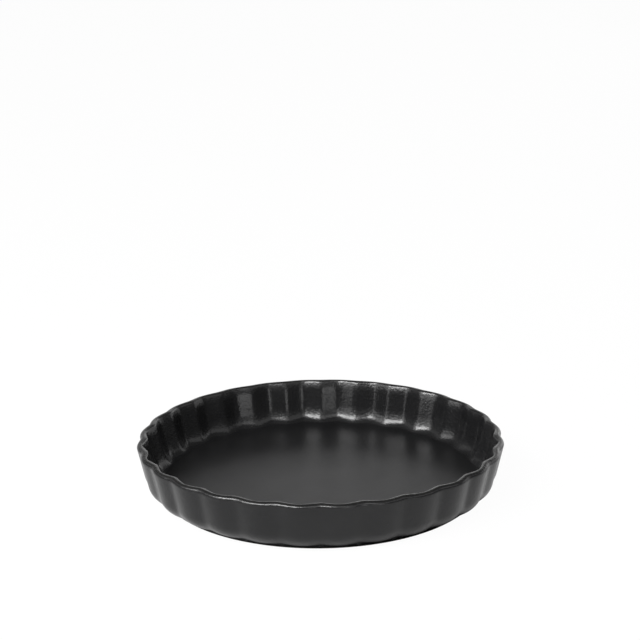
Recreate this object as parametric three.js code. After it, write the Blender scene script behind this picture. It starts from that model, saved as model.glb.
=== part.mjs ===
// Fluted ceramic pie dish: a pressed stoneware body under a fired coat of black glaze.
// Millimetres, +Z up, origin at the middle of the foot ring on the table.
import * as THREE from 'three';
import { mergeGeometries } from 'three/addons/utils/BufferGeometryUtils.js';

// Overall form
const RIM_DIAMETER = 300; // across two opposite flute crests
const HEIGHT = 43.5;
const WALL_LEAN = THREE.MathUtils.degToRad(12.8); // outward from upright

// Flutes, which run down the wall from the rim to the foot
const FLUTE_COUNT = 28;
const OUTER_FLUTE_DEPTH = 2.0; // crest to valley on the outside
const INNER_FLUTE_DEPTH = 3.6; // hollow to ridge on the inside
const OUTER_VALLEY_SOFTNESS = 0.26; // 0 is a knife-sharp valley
const INNER_PLEAT_SHARPNESS = 0.985; // 1 is a fold with flat sides

// Rim, a rounded lip that the inner wall flares into
const RIM_OUTER_RADIUS = 3.0;
const RIM_INNER_RADIUS = 1.6;
const RIM_DIP = 0.45; // of the flute crests below the valleys
const FLARE_RADIUS = 10;
const FLARE_START = THREE.MathUtils.degToRad(140); // from outward, up and over the lip

// Inside floor and the cove between it and the wall
const FLOOR_LEVEL = 8.5; // above the table
const COVE_RADIUS = 9.5;

// Heel, where the wall turns under, and the foot ring below it
const HEEL_RADIUS = 18;
const HEEL_TURN = THREE.MathUtils.degToRad(75); // below level, where the heel ends
const FOOT_HEIGHT = 3.2; // table to the end of the heel
const FOOT_STEP = 1.7; // ring inside the ends of the flute crests
const FOOT_WIDTH = 6.0; // flat band that stands on the table
const FOOT_EDGE_RADIUS = 0.8;
const FOOT_FLANK_LEAN = THREE.MathUtils.degToRad(45); // inner side of the ring
const RECESS_DEPTH = 2.0; // underside of the floor, inside the ring

// Glaze
const GLAZE_THICKNESS = 0.5;
const BASE_GLAZE_MARGIN = 1.5; // bare clay between the ring's flank and the base glaze

// Facets
const STEPS_PER_FLUTE = 4;
const STEPS_PER_CURVE = 3;
const STEPS_PER_EDGE = 2;

// Worked-out sizes
const RIM_RADIUS = RIM_DIAMETER / 2;
const SEGMENTS = FLUTE_COUNT * STEPS_PER_FLUTE;
const QUARTER_TURN = Math.PI / 2;

// Centre, at a given height, of a lower arc whose tangent line, leaning with the wall, also
// touches the upper arc. The side is 1 where both arcs bulge away from the axis, and -1 where
// the upper one faces it.
function lowerCentre(upper, upperRadius, side, lowerRadius, height) {
  const drop = upper.y - height;
  const reach = (side * upperRadius - lowerRadius) / Math.cos(WALL_LEAN);
  return new THREE.Vector2(upper.x + reach - drop * Math.tan(WALL_LEAN), height);
}

const rimOuterCentre = new THREE.Vector2(RIM_RADIUS - RIM_OUTER_RADIUS, HEIGHT - RIM_OUTER_RADIUS);
const rimInnerCentre = new THREE.Vector2(rimOuterCentre.x, HEIGHT - RIM_INNER_RADIUS);
const flareCentre = new THREE.Vector2(
  rimInnerCentre.x + (RIM_INNER_RADIUS - FLARE_RADIUS) * Math.cos(FLARE_START),
  rimInnerCentre.y + (RIM_INNER_RADIUS - FLARE_RADIUS) * Math.sin(FLARE_START),
);
const heelLevel = FOOT_HEIGHT + HEEL_RADIUS * Math.sin(HEEL_TURN);
const heelCentre = lowerCentre(rimOuterCentre, RIM_OUTER_RADIUS, 1, HEEL_RADIUS, heelLevel);
const coveLevel = FLOOR_LEVEL + COVE_RADIUS;
const coveCentre = lowerCentre(flareCentre, FLARE_RADIUS, -1, COVE_RADIUS, coveLevel);
const heelEndRadius = heelCentre.x + HEEL_RADIUS * Math.cos(HEEL_TURN);
const footRadius = heelEndRadius - FOOT_STEP;
const bareFootRadius = footRadius - GLAZE_THICKNESS;
const footInnerRadius = bareFootRadius - FOOT_EDGE_RADIUS - FOOT_WIDTH;
const recessRadius = footInnerRadius - RECESS_DEPTH * Math.tan(FOOT_FLANK_LEAN);

// A profile point: radius at a flute crest, height, how strong the flutes are there, the share of
// the inner ones, and how near it is to the top of the rim
function plain(r, z) {
  return { r, z, fluting: 0, inner: 0, crown: 0 };
}

function outside(r, z) {
  return { r, z, fluting: 1, inner: 0 };
}

function overLip(r, z, way) {
  return { r, z, fluting: 1, inner: way };
}

function inside(r, z) {
  return { r, z, fluting: 1, inner: 1 };
}

// The flutes die out as the cove runs down to the floor
function dyingOut(r, z, way) {
  return { r, z, fluting: 1 - way * way, inner: 1 };
}

// Points along an arc of the profile, each made by one of the functions above
function arc(centre, radius, from, to, steps, point) {
  return Array.from({ length: steps + 1 }, (_, step) => {
    const way = step / steps;
    const angle = from + (to - from) * way;
    const r = centre.x + radius * Math.cos(angle);
    const z = centre.y + radius * Math.sin(angle);
    return { ...point(r, z, way), crown: Math.max(0, Math.sin(angle)) ** 2 };
  });
}

// Rounded lip of the rim, or the clay that lies the given depth under it
function lip(under) {
  const outer = arc(
    rimOuterCentre, RIM_OUTER_RADIUS - under, -WALL_LEAN, QUARTER_TURN, STEPS_PER_CURVE, outside,
  );
  const inner = arc(
    rimInnerCentre, RIM_INNER_RADIUS - under, QUARTER_TURN, FLARE_START, STEPS_PER_EDGE, overLip,
  );
  const flare = arc(
    flareCentre, FLARE_RADIUS - under, FLARE_START, Math.PI - WALL_LEAN, STEPS_PER_EDGE, inside,
  );
  return [...outer, ...inner.slice(1), ...flare.slice(1)];
}

// Glazed surface from the foot, up the wall, over the rim and down to the middle of the floor,
// or the clay surface that lies the given depth under it
function surface(under) {
  return [
    plain(footRadius - under, FOOT_EDGE_RADIUS),
    plain(footRadius - under, FOOT_HEIGHT + under),
    ...arc(heelCentre, HEEL_RADIUS - under, -HEEL_TURN, -WALL_LEAN, STEPS_PER_CURVE, outside),
    ...lip(under),
    ...arc(coveCentre, COVE_RADIUS + under, -WALL_LEAN, -QUARTER_TURN, STEPS_PER_CURVE, dyingOut),
    plain(0, FLOOR_LEVEL - under),
  ];
}

// Share by which the outside is drawn in: arches that meet in sharper valleys
function outerWave(turn) {
  const swing = Math.sin((FLUTE_COUNT * turn) / 2);
  const crest = Math.hypot(1, OUTER_VALLEY_SOFTNESS);
  return (crest - Math.hypot(swing, OUTER_VALLEY_SOFTNESS)) / (crest - OUTER_VALLEY_SOFTNESS);
}

// Share by which the inside is drawn in: pleats with nearly flat sides
function innerWave(turn) {
  const fold = Math.asin(INNER_PLEAT_SHARPNESS * Math.cos(FLUTE_COUNT * turn));
  return 0.5 + fold / (2 * Math.asin(INNER_PLEAT_SHARPNESS));
}

// Turns a profile about +Z, draws its points in at the flute valleys and lowers the rim's crests
function flutedLathe(profile) {
  const points = profile.map(({ r, z }) => new THREE.Vector2(r, z));
  const geometry = new THREE.LatheGeometry(points, SEGMENTS);
  const position = geometry.attributes.position;
  for (let index = 0; index < position.count; index += 1) {
    const column = Math.floor(index / profile.length) % SEGMENTS;
    const turn = (column / SEGMENTS) * 2 * Math.PI;
    const { r, z, fluting, inner, crown } = profile[index % profile.length];
    const outerDraw = OUTER_FLUTE_DEPTH * outerWave(turn);
    const innerDraw = INNER_FLUTE_DEPTH * innerWave(turn);
    const radius = r - fluting * THREE.MathUtils.lerp(outerDraw, innerDraw, inner);
    const height = z - RIM_DIP * crown * (1 - outerWave(turn));
    position.setXYZ(index, radius * Math.sin(turn), height, radius * Math.cos(turn));
  }
  geometry.rotateX(QUARTER_TURN);
  geometry.computeVertexNormals();
  return geometry;
}

// The same surface seen from its other side, facet for facet
function facingInward(geometry) {
  const corners = geometry.index.array;
  for (let first = 0; first < corners.length; first += 3) {
    const swap = corners[first];
    corners[first] = corners[first + 2];
    corners[first + 2] = swap;
  }
  geometry.computeVertexNormals();
  return geometry;
}

function piece(name, geometry, material) {
  const mesh = new THREE.Mesh(geometry, material);
  mesh.name = name;
  return mesh;
}

// Stoneware body: floor, fluted wall, rim and the bare foot ring
function stonewareBody() {
  const footEdgeCentre = new THREE.Vector2(bareFootRadius - FOOT_EDGE_RADIUS, FOOT_EDGE_RADIUS);
  const profile = [
    plain(0, RECESS_DEPTH),
    plain(recessRadius, RECESS_DEPTH),
    plain(footInnerRadius, 0),
    ...arc(footEdgeCentre, FOOT_EDGE_RADIUS, -QUARTER_TURN, 0, STEPS_PER_EDGE, plain).slice(0, -1),
    ...surface(GLAZE_THICKNESS),
  ];
  const clay = new THREE.MeshStandardMaterial({ color: 0x6b6259, roughness: 0.85, metalness: 0 });
  return piece('stoneware_body', flutedLathe(profile), clay);
}

// Glaze over the inside, the rim and the outside, down to the foot ring's lower edge
function glazeCoat() {
  const lowerEdge = [plain(bareFootRadius, FOOT_EDGE_RADIUS), plain(footRadius, FOOT_EDGE_RADIUS)];
  const shell = mergeGeometries([
    flutedLathe(surface(0)),
    facingInward(flutedLathe(surface(GLAZE_THICKNESS))),
    flutedLathe(lowerEdge),
  ]);
  const glaze = new THREE.MeshStandardMaterial({ color: 0x19191a, roughness: 0.25, metalness: 0 });
  return piece('glaze_coat', shell, glaze);
}

// Glaze on the underside, inside the bare ring
function baseGlaze() {
  const radius = recessRadius - BASE_GLAZE_MARGIN;
  const profile = [
    plain(0, RECESS_DEPTH - GLAZE_THICKNESS),
    plain(radius, RECESS_DEPTH - GLAZE_THICKNESS),
    plain(radius, RECESS_DEPTH),
    plain(0, RECESS_DEPTH),
  ];
  const glaze = new THREE.MeshStandardMaterial({ color: 0x19191a, roughness: 0.25, metalness: 0 });
  return piece('base_glaze', flutedLathe(profile), glaze);
}

const dish = new THREE.Group();
dish.name = 'pie_dish';
dish.add(stonewareBody(), glazeCoat(), baseGlaze());

export default dish;
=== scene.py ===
"""Looks of a round fluted ceramic pie dish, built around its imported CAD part.

Metres, +Z up, with the origin at the middle of the foot ring on the table. The dish is made of
three turned pieces: the pressed clay, the glaze fired over it and the glaze under its floor.
"""
import logging
import math
from dataclasses import dataclass, field
from enum import Enum
from typing import Any

import bmesh
import bpy
from mathutils import Matrix, Vector


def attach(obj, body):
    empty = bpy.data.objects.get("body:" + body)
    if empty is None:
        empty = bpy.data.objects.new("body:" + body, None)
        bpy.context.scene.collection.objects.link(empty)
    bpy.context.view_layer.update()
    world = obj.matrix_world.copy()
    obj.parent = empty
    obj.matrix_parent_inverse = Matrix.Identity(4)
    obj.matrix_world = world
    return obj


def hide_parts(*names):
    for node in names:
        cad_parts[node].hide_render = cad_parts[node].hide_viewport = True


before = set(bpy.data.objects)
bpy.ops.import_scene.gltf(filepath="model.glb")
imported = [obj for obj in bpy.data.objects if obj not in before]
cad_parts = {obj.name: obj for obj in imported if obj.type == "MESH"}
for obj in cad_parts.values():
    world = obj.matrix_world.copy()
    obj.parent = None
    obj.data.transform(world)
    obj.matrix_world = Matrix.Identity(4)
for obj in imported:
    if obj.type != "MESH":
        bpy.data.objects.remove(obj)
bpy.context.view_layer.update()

LOG = logging.getLogger("pie_dish")
MM = 0.001
QUARTER_TURN = math.pi / 2
FULL_TURN = 2 * math.pi
SEAM = 0.005 * MM
BODY = "root"

FLUTING_LAYER = "fluting"
INSIDE_LAYER = "inside"
CROWN_LAYER = "crown"


class Signal:
    """A node's output that Python's operators work on, each adding a Math node."""

    def __init__(self, bench: "NodeBench", socket: bpy.types.NodeSocket) -> None:
        """Wraps an output socket of a node on the bench."""
        self.bench = bench
        self.socket = socket

    def _math(self, operation: str, first: Any, second: Any) -> "Signal":
        """Adds a Math node.

        Args:
            operation: The Math node's operation.
            first: Its first value or signal.
            second: Its second value or signal.

        Returns:
            The node's result.
        """
        node = self.bench.add("ShaderNodeMath", {"operation": operation}, {0: first, 1: second})
        return node["Value"]

    def __add__(self, other: Any) -> "Signal":
        """Adds."""
        return self._math("ADD", self, other)

    def __radd__(self, other: Any) -> "Signal":
        """Adds, with the value first."""
        return self._math("ADD", other, self)

    def __sub__(self, other: Any) -> "Signal":
        """Subtracts."""
        return self._math("SUBTRACT", self, other)

    def __rsub__(self, other: Any) -> "Signal":
        """Subtracts from a value."""
        return self._math("SUBTRACT", other, self)

    def __mul__(self, other: Any) -> "Signal":
        """Multiplies."""
        return self._math("MULTIPLY", self, other)

    def __rmul__(self, other: Any) -> "Signal":
        """Multiplies, with the value first."""
        return self._math("MULTIPLY", other, self)

    def at_most(self, limit: Any) -> "Signal":
        """The smaller of this and a limit."""
        return self._math("MINIMUM", self, limit)

    def at_least(self, limit: Any) -> "Signal":
        """The larger of this and a limit."""
        return self._math("MAXIMUM", self, limit)


class Made:
    """A node whose outputs are read as signals."""

    def __init__(self, bench: "NodeBench", node: bpy.types.Node) -> None:
        """Holds a node of the bench."""
        self.bench = bench
        self.node = node

    def __getitem__(self, output: str | int) -> Signal:
        """The signal of an output, by name or number."""
        return Signal(self.bench, self.node.outputs[output])


class NodeBench:
    """A node tree with one way of adding a node to it."""

    MIX_FIRST, MIX_SECOND, MIX_RESULT = 6, 7, 2  # colour sockets of a Mix node
    MIDDLE = 0.5  # of a cloudy pattern
    DOT_CORE = 0.5  # share of a dot's radius that is fully covered
    PICK_EDGE = 0.01  # softness of the choice of cells

    def __init__(self, tree: bpy.types.NodeTree) -> None:
        """Clears a node tree and works on it."""
        tree.nodes.clear()
        self.tree = tree

    def add(
        self,
        kind: str,
        settings: dict[str, Any] | None = None,
        inputs: dict[Any, Any] | None = None,
    ) -> Made:
        """Adds a node.

        Args:
            kind: The node's type.
            settings: Its own settings, set first.
            inputs: Values or signals for its input sockets, by name or number.

        Returns:
            The node, ready to be read.
        """
        node = self.tree.nodes.new(kind)
        for key, value in (settings or {}).items():
            setattr(node, key, value)
        for key, value in (inputs or {}).items():
            if isinstance(value, Signal):
                self.tree.links.new(value.socket, node.inputs[key])
            else:
                node.inputs[key].default_value = value
        return Made(self, node)

    def noise(
        self, where: Signal, scale: float, detail: float, roughness: float = 0.5
    ) -> Signal:
        """A cloudy pattern from 0 to 1.

        Args:
            where: Coordinates.
            scale: Lumps in a metre.
            detail: Octaves of finer lumps.
            roughness: How strong the finer lumps are.

        Returns:
            The pattern's value.
        """
        inputs = {"Vector": where, "Scale": scale, "Detail": detail, "Roughness": roughness}
        return self.add("ShaderNodeTexNoise", {"noise_dimensions": "3D"}, inputs)["Fac"]

    def specks(self, where: Signal, scale: float, size: float, share: float) -> Signal:
        """Scattered dots: 1 on a dot and 0 between.

        Args:
            where: Coordinates.
            scale: Cells in a metre, each of which may hold a dot.
            size: Radius of a dot, as a share of its cell.
            share: Share of the cells that hold one.

        Returns:
            The dots' mask.
        """
        inputs = {"Vector": where, "Scale": scale}
        cells = self.add("ShaderNodeTexVoronoi", {"feature": "F1"}, inputs)
        near = self.step(cells["Distance"], size, size * self.DOT_CORE)
        pick = self.add("ShaderNodeSeparateColor", {}, {"Color": cells["Color"]})["Red"]
        return near * self.step(pick, share, share - self.PICK_EDGE)

    def step(self, value: Signal, start: float, end: float) -> Signal:
        """A smooth rise from 0 at the start to 1 at the end.

        Args:
            value: What is tested.
            start: Where the rise starts; it may be above the end.
            end: Where it is over.

        Returns:
            The mask.
        """
        settings = {"interpolation_type": "SMOOTHSTEP"}
        inputs = {"Value": value, "From Min": start, "From Max": end}
        return self.add("ShaderNodeMapRange", settings, inputs)["Result"]

    def blend(self, factor: Any, first: Any, second: Any) -> Signal:
        """A colour between two others.

        Args:
            factor: 0 for the first colour, 1 for the second.
            first: Colour or signal.
            second: Colour or signal.

        Returns:
            The blended colour.
        """
        inputs = {"Factor": factor, self.MIX_FIRST: first, self.MIX_SECOND: second}
        return self.add("ShaderNodeMix", {"data_type": "RGBA"}, inputs)[self.MIX_RESULT]


def grey(level: float) -> tuple[float, float, float, float]:
    """A neutral colour."""
    return (level, level, level, 1.0)


def new_material(name: str) -> tuple[bpy.types.Material, NodeBench]:
    """An empty material that nodes are added to.

    Args:
        name: The material's name.

    Returns:
        The material, and the bench for its nodes.
    """
    material = bpy.data.materials.new(name)
    material.use_nodes = True
    return material, NodeBench(material.node_tree)


@dataclass(frozen=True)
class SatinGlaze:
    """Black satin glaze: a fine peel that levels out on the floor, pinholes, and a thin rim."""

    name: str
    colour: tuple[float, float, float, float] = (0.0056, 0.0056, 0.0059, 1.0)
    pooled_colour: tuple[float, float, float, float] = (0.0046, 0.0046, 0.0049, 1.0)
    thin_colour: tuple[float, float, float, float] = (0.0085, 0.0081, 0.0077, 1.0)
    wall_roughness: float = 0.22
    level_roughness: float = 0.33
    roughness_drift: float = 0.08
    level_relief: float = 0.15
    cloud_scale: float = 34.0
    cloud_detail: float = 3.0
    peel_scale: float = 300.0
    peel_detail: float = 1.0
    grain_scale: float = 520.0
    grain_detail: float = 2.0
    pinhole_scale: float = 260.0
    pinhole_size: float = 0.13
    pinhole_share: float = 0.12
    pinhole_roughness: float = 0.1
    pool_edges: tuple[float, float] = (0.35, 0.65)
    thin_edges: tuple[float, float] = (0.6, 1.3)
    ior: float = 1.45
    peel_height: float = 0.07 * MM
    grain_height: float = 0.19 * MM
    pinhole_depth: float = 0.05 * MM

    def material(self) -> bpy.types.Material:
        """Mixes the glaze.

        Returns:
            The glaze as a material.
        """
        material, bench = new_material(self.name)
        where = bench.add("ShaderNodeTexCoord")["Object"]
        cloud = bench.noise(where, self.cloud_scale, self.cloud_detail)
        peel = bench.noise(where, self.peel_scale, self.peel_detail)
        grain = bench.noise(where, self.grain_scale, self.grain_detail)
        pinholes = bench.specks(where, self.pinhole_scale, self.pinhole_size, self.pinhole_share)
        thin = bench.add("ShaderNodeAttribute", {"attribute_name": CROWN_LAYER})["Fac"]
        wall = bench.add("ShaderNodeAttribute", {"attribute_name": FLUTING_LAYER})["Fac"]
        pool = bench.step(cloud, *self.pool_edges)
        colour = bench.blend(pool, self.pooled_colour, self.colour)
        worn = thin * bench.step(grain + cloud, *self.thin_edges)
        colour = bench.blend(worn, colour, self.thin_colour)
        roughness = self.level_roughness + wall * (self.wall_roughness - self.level_roughness)
        roughness = roughness + (cloud - bench.MIDDLE) * self.roughness_drift
        roughness = roughness + pinholes * self.pinhole_roughness
        height = peel * self.peel_height + grain * self.grain_height - pinholes * self.pinhole_depth
        height = height * (self.level_relief + wall * (1.0 - self.level_relief))
        bump = bench.add("ShaderNodeBump", {}, {"Strength": 1.0, "Distance": 1.0, "Height": height})
        shader = bench.add(
            "ShaderNodeBsdfPrincipled",
            {},
            {
                "Base Color": colour,
                "Roughness": roughness,
                "IOR": self.ior,
                "Normal": bump["Normal"],
            },
        )
        bench.add("ShaderNodeOutputMaterial", {}, {"Surface": shader["BSDF"]})
        return material


@dataclass(frozen=True)
class BareStoneware:
    """Unglazed fired clay: matt and sandy, with dark and light grains of grog."""

    name: str
    colour: tuple[float, float, float, float] = (0.15, 0.125, 0.1, 1.0)
    shade_colour: tuple[float, float, float, float] = (0.105, 0.086, 0.07, 1.0)
    dark_grain: tuple[float, float, float, float] = (0.035, 0.03, 0.026, 1.0)
    light_grain: tuple[float, float, float, float] = (0.3, 0.265, 0.225, 1.0)
    cloud_scale: float = 45.0
    cloud_detail: float = 4.0
    tooth_scale: float = 900.0
    tooth_detail: float = 4.0
    tooth_roughness: float = 0.7
    dark_scale: float = 520.0
    dark_size: float = 0.3
    dark_share: float = 0.3
    light_scale: float = 410.0
    light_size: float = 0.26
    light_share: float = 0.2
    shade_edges: tuple[float, float] = (0.75, 1.25)
    roughness: float = 0.85
    roughness_drift: float = 0.15
    tooth_height: float = 0.05 * MM
    grain_relief: float = 0.4

    def material(self) -> bpy.types.Material:
        """Mixes the clay.

        Returns:
            The clay as a material.
        """
        material, bench = new_material(self.name)
        where = bench.add("ShaderNodeTexCoord")["Object"]
        cloud = bench.noise(where, self.cloud_scale, self.cloud_detail)
        tooth = bench.noise(where, self.tooth_scale, self.tooth_detail, self.tooth_roughness)
        dark = bench.specks(where, self.dark_scale, self.dark_size, self.dark_share)
        light = bench.specks(where, self.light_scale, self.light_size, self.light_share)
        shade = bench.step(cloud + tooth, *self.shade_edges)
        colour = bench.blend(shade, self.shade_colour, self.colour)
        colour = bench.blend(dark, colour, self.dark_grain)
        colour = bench.blend(light, colour, self.light_grain)
        roughness = self.roughness + (tooth - bench.MIDDLE) * self.roughness_drift
        grains = light * self.grain_relief - dark * self.grain_relief
        height = (tooth + grains) * self.tooth_height
        bump = bench.add("ShaderNodeBump", {}, {"Strength": 1.0, "Distance": 1.0, "Height": height})
        shader = bench.add(
            "ShaderNodeBsdfPrincipled",
            {},
            {"Base Color": colour, "Roughness": roughness, "Normal": bump["Normal"]},
        )
        bench.add("ShaderNodeOutputMaterial", {}, {"Surface": shader["BSDF"]})
        return material


@dataclass(frozen=True)
class WhiteCard:
    """White paper that reads as white to the camera and in the glaze, and keeps a shadow.

    The glaze sees it glowing at its mirrored strength, less painted shade to both sides of its
    middle and towards its top, and with a painted shadow close to the place where the dish
    stands. Its back is clear, and so is the round that the foot ring covers, so that the underside
    can be lit and looked at.
    """

    name: str
    mirrored: float
    shade: float
    middle: float
    shade_start: float
    shade_end: float
    top_shade: float = 0.0
    top_shade_start: float = 1.6
    top_shade_end: float = 2.8
    faintest: float = 0.15
    # Painted shadow that the glaze sees by the foot: its middle's shift to the side, and the radii
    # where it starts to lift and where it is gone.
    painted_shadow_shift: float = 0.006
    painted_shadow_start: float = 0.128
    painted_shadow_end: float = 0.142
    clear_round: float = 0.1285
    white: float = 0.8
    glow: float = 0.97

    def material(self) -> bpy.types.Material:
        """Mixes the paper.

        Returns:
            The paper as a material.
        """
        material, bench = new_material(self.name)
        ray = bench.add("ShaderNodeLightPath")
        where = bench.add("ShaderNodeTexCoord")["Object"]
        # The glaze sees the card with painted shade to the sides and top, and a painted shadow
        # round the foot whose middle is shifted sideways.
        shadow = {0: where, 1: (self.painted_shadow_shift, 0.0, 0.0)}
        reach = bench.add("ShaderNodeVectorMath", {"operation": "DISTANCE"}, shadow)["Value"]
        place = bench.add("ShaderNodeSeparateXYZ", {}, {0: where})
        sideways = place["X"] - self.middle
        sideways = sideways.at_least(sideways * -1.0)
        aside = bench.step(sideways, self.shade_start, self.shade_end)
        aloft = bench.step(place["Z"], self.top_shade_start, self.top_shade_end)
        # apart is 0 in the painted shadow by the foot and rises to 1 beyond it.
        apart = bench.step(reach, self.painted_shadow_start, self.painted_shadow_end)
        strength = self.mirrored - aside * self.shade - aloft * self.top_shade
        strength = strength.at_least(self.faintest) * apart
        mirrored = (ray["Is Glossy Ray"] + ray["Is Transmission Ray"]).at_most(1.0)
        seen = (ray["Is Camera Ray"] + mirrored).at_most(1.0)
        shine = (ray["Is Camera Ray"] + mirrored * strength).at_most(1.0)
        paper = bench.add("ShaderNodeBsdfDiffuse", {}, {"Color": grey(self.white)})
        glow = bench.add("ShaderNodeEmission", {}, {"Color": shine, "Strength": 1.0})
        both = bench.add(
            "ShaderNodeMixShader", {}, {0: seen * self.glow, 1: paper["BSDF"], 2: glow["Emission"]}
        )
        behind = bench.add("ShaderNodeNewGeometry")["Backfacing"]
        out = bench.add("ShaderNodeVectorMath", {"operation": "LENGTH"}, {0: where})["Value"]
        edge = {0: out, 1: self.clear_round}
        under = bench.add("ShaderNodeMath", {"operation": "LESS_THAN"}, edge)
        clear = bench.add("ShaderNodeBsdfTransparent")
        card = bench.add(
            "ShaderNodeMixShader",
            {},
            {0: behind.at_least(under["Value"]), 1: both["Shader"], 2: clear["BSDF"]},
        )
        bench.add("ShaderNodeOutputMaterial", {}, {"Surface": card["Shader"]})
        return material


class Wave(Enum):
    """Flutes in plan: arches that meet in sharper valleys, or pleats with flat sides."""

    ARCHED = "arched"
    PLEATED = "pleated"


@dataclass(frozen=True)
class Flutes:
    """How one side of the wall is drawn in between two flutes."""

    wave: Wave
    depth: float
    sharpness: float

    def share(self, swing: float) -> float:
        """Share of the depth by which the wall is drawn in.

        Args:
            swing: Half the flute's own angle, which is 0 or pi in a valley.

        Returns:
            0 on a crest and 1 in a valley.
        """
        if self.wave is Wave.PLEATED:
            fold = math.asin(self.sharpness * math.cos(2 * swing))
            return 0.5 + fold / (2 * math.asin(self.sharpness))
        softness = 1 - self.sharpness
        crest = math.hypot(1, softness)
        return (crest - math.hypot(math.sin(swing), softness)) / (crest - softness)


@dataclass(frozen=True)
class Bow:
    """An arc of the outline, with its angles measured from outward towards up."""

    radius_at: float
    height_at: float
    radius: float
    start: float
    end: float
    steps: int

    def point(self, angle: float) -> tuple[float, float]:
        """Radius and height of the arc's point at an angle."""
        across, up = self.radius * math.cos(angle), self.radius * math.sin(angle)
        return self.radius_at + across, self.height_at + up


@dataclass(frozen=True)
class Stretch:
    """How the flutes change along an arc, from its start to its end."""

    fluting: tuple[float, float] = (0.0, 0.0)
    inside: tuple[float, float] = (0.0, 0.0)

    def at(self, way: float) -> tuple[float, float]:
        """The flutes part of the way along.

        Args:
            way: How far along, from 0 to 1.

        Returns:
            Strength of the flutes, and the share of the inner ones.
        """
        strong, weak = self.fluting
        outer, inner = self.inside
        return strong + (weak - strong) * way * way, outer + (inner - outer) * way


PLAIN = Stretch()
OUTSIDE = Stretch(fluting=(1.0, 1.0))
OVER_THE_LIP = Stretch(fluting=(1.0, 1.0), inside=(0.0, 1.0))
INSIDE = Stretch(fluting=(1.0, 1.0), inside=(1.0, 1.0))
DYING_OUT = Stretch(fluting=(1.0, 0.0), inside=(1.0, 1.0))


@dataclass
class Template:
    """The outline of a turned piece, drawn from point to point in the plane through the axis."""

    mesh: bmesh.types.BMesh
    form: "DishForm"
    drawn: list[bmesh.types.BMVert] = field(default_factory=list)
    pen: bmesh.types.BMVert | None = None

    def __post_init__(self) -> None:
        """Finds or makes the vertex layers that the flutes and the glaze read."""
        layers = self.mesh.verts.layers.float
        self.fluting = layers.get(FLUTING_LAYER) or layers.new(FLUTING_LAYER)
        self.inside = layers.get(INSIDE_LAYER) or layers.new(INSIDE_LAYER)
        self.crown = layers.get(CROWN_LAYER) or layers.new(CROWN_LAYER)

    def _mark(self, vert: bmesh.types.BMVert, stretch: Stretch, way: float, rise: float) -> None:
        """Adds a vertex to the outline and leaves the pen there.

        Args:
            vert: The vertex.
            stretch: The flutes where it lies.
            way: How far along them it is, from 0 to 1.
            rise: Slope of the outline's normal there, which is 1 on top of the rim.
        """
        vert[self.fluting], vert[self.inside] = stretch.at(way)
        vert[self.crown] = max(0.0, rise) ** 2
        self.drawn.append(vert)
        self.pen = vert

    def back_to_start(self) -> None:
        """Puts the pen on the outline's first point, for a line that starts from there too."""
        self.pen = self.drawn[0]

    def to(self, radius: float, height: float, stretch: Stretch = PLAIN, rise: float = 0.0) -> None:
        """Draws a straight line to a point, or starts there.

        Args:
            radius: Distance from the axis, at a flute's crest.
            height: Height above the table.
            stretch: The flutes that start there.
            rise: Slope of the outline's normal there.
        """
        place = Vector((radius, 0, height))
        if self.pen is None:
            vert = self.mesh.verts.new(place)
        else:
            vert = bmesh.ops.extrude_vert_indiv(self.mesh, verts=[self.pen])["verts"][0]
            vert.co = place
        self._mark(vert, stretch, 0.0, rise)

    def arc(self, bow: Bow, stretch: Stretch = PLAIN) -> None:
        """Draws an arc, after a line to its start where that lies apart.

        Args:
            bow: The arc.
            stretch: The flutes along it.
        """
        start = Vector((bow.point(bow.start)[0], 0, bow.point(bow.start)[1]))
        if self.pen is None or (self.pen.co - start).length > SEAM:
            self.to(start.x, start.z, stretch, math.sin(bow.start))
        for step in range(1, bow.steps + 1):
            made = bmesh.ops.spin(
                self.mesh,
                geom=[self.pen],
                cent=(bow.radius_at, 0, bow.height_at),
                axis=(0, -1, 0),
                angle=(bow.end - bow.start) / bow.steps,
                steps=1,
            )
            vert = next(item for item in made["geom_last"] if isinstance(item, bmesh.types.BMVert))
            way = step / bow.steps
            self._mark(vert, stretch, way, math.sin(bow.start + (bow.end - bow.start) * way))

    def turn(self) -> None:
        """Turns the outline through one flute, draws that in, and repeats it round the dish."""
        form = self.form
        pitch = FULL_TURN / form.flute_count
        others = set(self.mesh.verts) - set(self.drawn)
        edges = {edge for vert in self.drawn for edge in vert.link_edges}
        about_axis = {"cent": (0, 0, 0), "axis": (0, 0, 1)}
        bmesh.ops.spin(
            self.mesh,
            geom=[*self.drawn, *edges],
            angle=pitch,
            steps=form.steps_per_flute,
            **about_axis,
        )
        flute = [vert for vert in self.mesh.verts if vert not in others]
        for vert in flute:
            self._draw_in(vert)
        edges = {edge for vert in flute for edge in vert.link_edges}
        faces = {face for vert in flute for face in vert.link_faces}
        bmesh.ops.spin(
            self.mesh,
            geom=[*flute, *edges, *faces],
            angle=FULL_TURN - pitch,
            steps=form.flute_count - 1,
            use_duplicate=True,
            **about_axis,
        )
        turned = [vert for vert in self.mesh.verts if vert not in others]
        bmesh.ops.remove_doubles(self.mesh, verts=turned, dist=SEAM)

    def _draw_in(self, vert: bmesh.types.BMVert) -> None:
        """Moves a turned vertex towards the axis in the valleys, and down on the rim's crests.

        Args:
            vert: The vertex.
        """
        form, fluting, inside = self.form, vert[self.fluting], vert[self.inside]
        radius = vert.co.xy.length
        if fluting and radius:
            swing = math.atan2(vert.co.y, vert.co.x) * form.flute_count / 2
            outer = form.outer_flutes.share(swing)
            inner = form.inner_flutes.share(swing)
            outer_draw = (1 - inside) * form.outer_flutes.depth * outer
            draw = outer_draw + inside * form.inner_flutes.depth * inner
            vert.co.xy *= 1 - fluting * draw / radius
            vert.co.z -= form.rim_dip * vert[self.crown] * (1 - outer)


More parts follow.
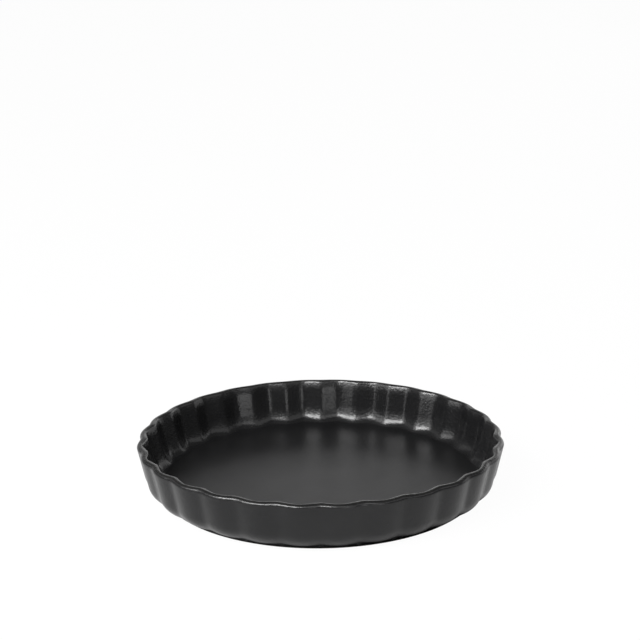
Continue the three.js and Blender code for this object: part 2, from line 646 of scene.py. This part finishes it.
@dataclass(frozen=True)
class DishForm:
    """Sizes that the dish's pieces share. Radii are at the flutes' crests."""

    rim_radius: float = 150 * MM
    height: float = 43.5 * MM
    wall_lean: float = math.radians(12.8)
    flute_count: int = 28
    outer_flutes: Flutes = Flutes(Wave.ARCHED, 2.0 * MM, 0.74)
    inner_flutes: Flutes = Flutes(Wave.PLEATED, 3.6 * MM, 0.93)
    rim_outer_radius: float = 3.0 * MM
    rim_inner_radius: float = 1.6 * MM
    rim_dip: float = 0.45 * MM
    flare_radius: float = 4.5 * MM
    flare_start: float = math.radians(140)
    brow_radius: float = 35 * MM
    sweep_radius: float = 45 * MM
    sweep_end: float = math.radians(24)
    floor_level: float = 8.5 * MM
    cove_radius: float = 9.5 * MM
    heel_radius: float = 18 * MM
    heel_turn: float = math.radians(75)
    foot_height: float = 3.2 * MM
    foot_step: float = 1.7 * MM
    foot_width: float = 6.0 * MM
    foot_edge_radius: float = 0.8 * MM
    foot_flank_lean: float = math.radians(45)
    recess_depth: float = 2.0 * MM
    glaze_thickness: float = 0.5 * MM
    base_glaze_margin: float = 1.5 * MM
    level_border: float = 1.0 * MM
    steps_per_flute: int = 16
    steps_per_curve: int = 12

    @property
    def rim_outer_centre(self) -> tuple[float, float]:
        """Centre of the rim's outer rounding."""
        return self.rim_radius - self.rim_outer_radius, self.height - self.rim_outer_radius

    @property
    def rim_inner_centre(self) -> tuple[float, float]:
        """Centre of the rim's inner rounding."""
        return self.rim_radius - self.rim_outer_radius, self.height - self.rim_inner_radius

    @staticmethod
    def _next_centre(centre: tuple[float, float], step: float, angle: float) -> tuple[float, float]:
        """Centre of an arc that goes on from another one without a corner.

        Args:
            centre: Centre of the other arc.
            step: Its radius less that of this one.
            angle: Where the two meet.

        Returns:
            This arc's centre.
        """
        return centre[0] + step * math.cos(angle), centre[1] + step * math.sin(angle)

    @property
    def flare_centre(self) -> tuple[float, float]:
        """Centre of the curve that leads the rim into the inner wall."""
        step = self.rim_inner_radius - self.flare_radius
        return self._next_centre(self.rim_inner_centre, step, self.flare_start)

    @property
    def brow_centre(self) -> tuple[float, float]:
        """Centre of the gentle curve at the top of the inner wall."""
        step = self.flare_radius - self.brow_radius
        return self._next_centre(self.flare_centre, step, math.pi - self.sweep_end)

    def _lower_centre(
        self, upper: tuple[float, float], upper_reach: float, lower_radius: float, height: float
    ) -> tuple[float, float]:
        """Centre of a lower arc whose tangent, leaning with the wall, also touches an upper arc.

        Args:
            upper: Centre of the upper arc.
            upper_reach: Its radius, negative where it faces the axis.
            lower_radius: Radius of the lower arc.
            height: Height of its centre.

        Returns:
            The lower arc's centre.
        """
        reach = (upper_reach - lower_radius) / math.cos(self.wall_lean)
        return upper[0] + reach - (upper[1] - height) * math.tan(self.wall_lean), height

    @property
    def heel_centre(self) -> tuple[float, float]:
        """The curve where the wall turns under.

        Returns:
            Its centre.
        """
        level = self.foot_height + self.heel_radius * math.sin(self.heel_turn)
        rim, rim_radius = self.rim_outer_centre, self.rim_outer_radius
        return self._lower_centre(rim, rim_radius, self.heel_radius, level)

    @property
    def sweep_centre(self) -> tuple[float, float]:
        """The gentle curve at the bottom of the inner wall.

        Returns:
            Its centre.
        """
        step = self.sweep_radius - self.cove_radius
        level = self.floor_level + self.cove_radius + step * math.sin(self.sweep_end)
        return self._lower_centre(self.brow_centre, -self.brow_radius, self.sweep_radius, level)

    @property
    def cove_centre(self) -> tuple[float, float]:
        """Centre of the curve between the floor and the wall inside."""
        step = self.sweep_radius - self.cove_radius
        return self._next_centre(self.sweep_centre, step, -self.sweep_end)

    @property
    def foot_radius(self) -> float:
        """Outside of the glazed foot."""
        heel_end = self.heel_centre[0] + self.heel_radius * math.cos(self.heel_turn)
        return heel_end - self.foot_step

    @property
    def bare_foot_radius(self) -> float:
        """Outside of the foot's clay."""
        return self.foot_radius - self.glaze_thickness

    @property
    def foot_inner_radius(self) -> float:
        """Inside of the band that stands on the table."""
        return self.bare_foot_radius - self.foot_edge_radius - self.foot_width

    @property
    def recess_radius(self) -> float:
        """Flat underside inside the foot ring."""
        return self.foot_inner_radius - self.recess_depth * math.tan(self.foot_flank_lean)

    def template(self, mesh: bmesh.types.BMesh) -> Template:
        """A template for one of the dish's turned pieces."""
        return Template(mesh, self)

    def draw_surface(self, line: Template, under: float) -> None:
        """Draws the glazed surface from the foot up over the rim to the middle of the floor.

        Args:
            line: The template to draw on.
            under: Depth of the drawn surface under the glazed one.
        """
        lean, sweep, top = self.wall_lean, self.sweep_end, self.flare_start
        brow = math.pi - sweep
        line.to(self.foot_radius - under, self.foot_edge_radius)
        line.to(self.foot_radius - under, self.foot_height + under)
        for centre, radius, start, end, stretch in (
            (self.heel_centre, self.heel_radius - under, -self.heel_turn, -lean, OUTSIDE),
            (self.rim_outer_centre, self.rim_outer_radius - under, -lean, QUARTER_TURN, OUTSIDE),
            (self.rim_inner_centre, self.rim_inner_radius - under, QUARTER_TURN, top, OVER_THE_LIP),
            (self.flare_centre, self.flare_radius - under, top, brow, INSIDE),
            (self.brow_centre, self.brow_radius - under, brow, math.pi - lean, INSIDE),
            (self.sweep_centre, self.sweep_radius + under, -lean, -sweep, INSIDE),
            (self.cove_centre, self.cove_radius + under, -sweep, -QUARTER_TURN, DYING_OUT),
        ):
            line.arc(Bow(*centre, radius, start, end, self.steps_per_curve), stretch)
        line.to(self.cove_centre[0] - self.level_border, self.floor_level - under)
        line.to(0, self.floor_level - under)


@dataclass
class TurnedPiece:
    """A piece of the dish, turned from a template, that stands for a node of the CAD part."""

    form: DishForm
    name: str
    node: str
    slot: str
    finish: SatinGlaze | BareStoneware

    def shape(self, mesh: bmesh.types.BMesh) -> None:
        """Models the piece in an empty mesh."""
        raise NotImplementedError

    def build(self) -> bpy.types.Object:
        """Models the piece, rides it on the dish and lets it stand for its node.

        Returns:
            The piece.
        """
        mesh = bmesh.new()
        self.shape(mesh)
        bmesh.ops.recalc_face_normals(mesh, faces=mesh.faces)
        for face in mesh.faces:
            face.smooth = True
        data = bpy.data.meshes.new(self.name)
        mesh.to_mesh(data)
        mesh.free()
        piece = bpy.data.objects.new(self.name, data)
        bpy.context.scene.collection.objects.link(piece)
        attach(piece, BODY)
        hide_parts(self.node)
        LOG.info("%s: %d faces", self.name, len(data.polygons))
        return piece

    def dress(self, piece: bpy.types.Object) -> None:
        """Gives the piece its finish."""
        piece.data.materials.append(self.finish.material())


@dataclass
class PressedClay(TurnedPiece):
    """The stoneware: floor, fluted wall, rim and the bare foot ring."""

    edge_steps: int = 4

    def shape(self, mesh: bmesh.types.BMesh) -> None:
        """Turns the clay's outline, from the underside round to the floor.

        Args:
            mesh: The empty mesh.
        """
        form = self.form
        line = form.template(mesh)
        line.to(0, form.recess_depth)
        line.to(form.recess_radius, form.recess_depth)
        line.to(form.foot_inner_radius, 0)
        edge = form.foot_edge_radius
        line.arc(
            Bow(form.bare_foot_radius - edge, edge, edge, -QUARTER_TURN, 0, self.edge_steps)
        )
        form.draw_surface(line, form.glaze_thickness)
        line.turn()


@dataclass
class GlazeCoat(TurnedPiece):
    """The glaze over the inside, the rim and the outside, down to the foot."""

    def shape(self, mesh: bmesh.types.BMesh) -> None:
        """Turns the outlines of both faces of the coat, which meet along its lower edge.

        Args:
            mesh: The empty mesh.
        """
        line = self.form.template(mesh)
        self.form.draw_surface(line, 0.0)
        line.back_to_start()
        self.form.draw_surface(line, self.form.glaze_thickness)
        line.turn()


@dataclass
class BaseGlaze(TurnedPiece):
    """The glaze on the underside, inside the bare ring."""

    edge_share: float = 0.6
    edge_steps: int = 5

    def shape(self, mesh: bmesh.types.BMesh) -> None:
        """Turns the outline of a thin disc with a rounded lower edge.

        Args:
            mesh: The empty mesh.
        """
        form = self.form
        radius = form.recess_radius - form.base_glaze_margin
        top = form.recess_depth
        bottom = top - form.glaze_thickness
        edge = form.glaze_thickness * self.edge_share
        line = form.template(mesh)
        line.to(0, bottom)
        line.to(radius - edge - form.level_border, bottom)
        line.arc(Bow(radius - edge, bottom + edge, edge, -QUARTER_TURN, 0, self.edge_steps))
        line.to(radius, top)
        line.to(0, top)
        line.turn()


@dataclass(frozen=True)
class Softbox:
    """A rectangular lamp that faces the dish from a direction and a distance."""

    direction: tuple[float, float, float]
    distance: float
    width: float
    height: float
    brightness: float

    @property
    def place(self) -> Vector:
        """Where the lamp hangs."""
        return Vector(self.direction).normalized() * self.distance


class LampKind(Enum):
    """The softboxes round the dish."""

    OVERHEAD = Softbox((-0.30, 0.05, 0.95), 2.6, 2.4, 2.4, 0.13)
    LEFT = Softbox((-0.778, -0.314, 0.545), 2.8, 2.0, 1.6, 2.2)
    BACK_LEFT = Softbox((-0.84, 0.25, 0.48), 2.8, 2.0, 1.2, 0.35)
    RIGHT = Softbox((0.72, -0.3, 0.63), 2.8, 2.6, 1.6, 0.6)
    BACK_RIGHT = Softbox((0.70, 0.68, 0.21), 2.8, 3.0, 1.6, 0.7)
    FRONT_LEFT = Softbox((-0.452, -0.589, 0.669), 2.4, 1.9, 0.9, 13.0)
    FRONT_LEFT_EDGE = Softbox((-0.452, -0.589, 0.669), 2.5, 3.0, 2.5, 0.4)
    FRONT_TOP = Softbox((0.192, -0.718, 0.669), 2.4, 1.1, 1.2, 1.6)
    FRONT_RIGHT = Softbox((0.403, -0.905, 0.139), 2.4, 0.75, 0.6, 2.4)
    LOW_LEFT = Softbox((-0.801, -0.582, 0.139), 2.4, 0.45, 0.6, 2.4)
    UNDER = Softbox((-0.2, 0.45, -0.87), 2.6, 2.6, 2.6, 1.4)


@dataclass
class Studio:
    """A white floor and backdrop in a dim room, and softboxes."""

    # Both cards carry painted shade in their mirrored glow, and the floor card a painted shadow by
    # the foot.
    floor_card: WhiteCard = WhiteCard(
        "floor_card", mirrored=0.78, shade=0.2, middle=-0.03, shade_start=0.1, shade_end=0.35
    )
    backdrop_card: WhiteCard = WhiteCard(
        "backdrop_card",
        mirrored=1.1,
        shade=0.5,
        middle=0.08,
        shade_start=0.22,
        shade_end=0.62,
        top_shade=1.0,
    )
    floor_radius: float = 7.0
    floor_segments: int = 96
    floor_gap: float = 0.05 * MM
    backdrop_at: float = 4.5
    backdrop_width: float = 9.0
    backdrop_height: float = 3.4
    surround: float = 0.13
    lamp_power: float = 4.0

    def _stand(self, name: str, mesh: bmesh.types.BMesh, finish: WhiteCard) -> None:
        """Puts a piece of the set in the scene.

        Args:
            name: Its name.
            mesh: Its shape.
            finish: Its paper.
        """
        data = bpy.data.meshes.new(name)
        mesh.to_mesh(data)
        mesh.free()
        data.materials.append(finish.material())
        card = bpy.data.objects.new(name, data)
        bpy.context.scene.collection.objects.link(card)

    def build(self) -> None:
        """Lays the floor and hangs the backdrop."""
        floor = bmesh.new()
        below = Matrix.Translation((0, 0, -self.floor_gap))
        bmesh.ops.create_circle(
            floor,
            cap_ends=True,
            radius=self.floor_radius,
            segments=self.floor_segments,
            matrix=below,
        )
        self._stand("floor", floor, self.floor_card)
        backdrop = bmesh.new()
        place = Matrix.Translation((0, self.backdrop_at, self.backdrop_height / 2))
        upright = Matrix.Rotation(QUARTER_TURN, 4, "X")
        size = Matrix.Diagonal((self.backdrop_width / 2, self.backdrop_height / 2, 1, 1))
        hung = place @ upright @ size
        bmesh.ops.create_grid(backdrop, x_segments=1, y_segments=1, size=1, matrix=hung)
        self._stand("backdrop", backdrop, self.backdrop_card)

    def light(self) -> None:
        """Hangs the softboxes and dims the room."""
        for kind in LampKind:
            box = kind.value
            lamp = bpy.data.lights.new(f"{kind.name.lower()}_softbox", "AREA")
            lamp.shape = "RECTANGLE"
            lamp.size, lamp.size_y = box.width, box.height
            lamp.energy = self.lamp_power * box.width * box.height * box.brightness
            softbox = bpy.data.objects.new(lamp.name, lamp)
            softbox.location = box.place
            softbox.rotation_mode = "QUATERNION"
            softbox.rotation_quaternion = (-softbox.location).to_track_quat("-Z", "Y")
            softbox.visible_camera = False
            bpy.context.scene.collection.objects.link(softbox)
        world = bpy.data.worlds.new("room")
        world.use_nodes = True
        bench = NodeBench(world.node_tree)
        seen = bench.add("ShaderNodeLightPath")["Is Camera Ray"]
        brightness = seen.at_least(self.surround)
        room = bench.add("ShaderNodeBackground", {}, {"Color": brightness, "Strength": 1.0})
        bench.add("ShaderNodeOutputWorld", {}, {"Surface": room["Background"]})
        bpy.context.scene.world = world
        bpy.context.scene.view_settings.view_transform = "Standard"


@dataclass(frozen=True)
class Viewpoint:
    """Where the camera stands and how it looks."""

    distance: float = 1.45
    orbit: float = math.radians(0.3)
    elevation: float = math.radians(21.78)
    tilt_up: float = math.radians(5.404)
    turn_right: float = math.radians(0.034)
    roll: float = math.radians(0.66)
    lens: float = 98.1
    sensor: float = 36.0
    clip_end: float = 50.0

    def build(self) -> None:
        """Makes the camera and lets the scene use it."""
        data = bpy.data.cameras.new("camera")
        data.sensor_width = self.sensor
        data.lens = self.lens
        data.clip_end = self.clip_end
        camera = bpy.data.objects.new("camera", data)
        bpy.context.scene.collection.objects.link(camera)
        back = Vector((0, -math.cos(self.elevation), math.sin(self.elevation)))
        pitch = QUARTER_TURN - (self.elevation - self.tilt_up)
        camera.matrix_world = (
            Matrix.Rotation(self.orbit, 4, "Z")
            @ Matrix.Translation(back * self.distance)
            @ Matrix.Rotation(-self.turn_right, 4, "Z")
            @ Matrix.Rotation(pitch, 4, "X")
            @ Matrix.Rotation(-self.roll, 4, "Z")
        )
        bpy.context.scene.camera = camera


def main() -> None:
    """Builds the camera, the set and the dish's pieces."""
    logging.basicConfig(level=logging.INFO, format="%(name)s: %(message)s")
    Viewpoint().build()
    studio = Studio()
    studio.build()
    studio.light()
    form = DishForm()
    glaze = SatinGlaze("black_satin_glaze")
    clay = BareStoneware("bare_stoneware")
    for turned in (
        PressedClay(form, "pressed_clay", "stoneware_body", "bare_stoneware", clay),
        GlazeCoat(form, "fluted_glaze", "glaze_coat", "black_glaze", glaze),
        BaseGlaze(form, "underside_glaze", "base_glaze", "black_glaze", glaze),
    ):
        turned.dress(turned.build())


if __name__ == "__main__":
    main()
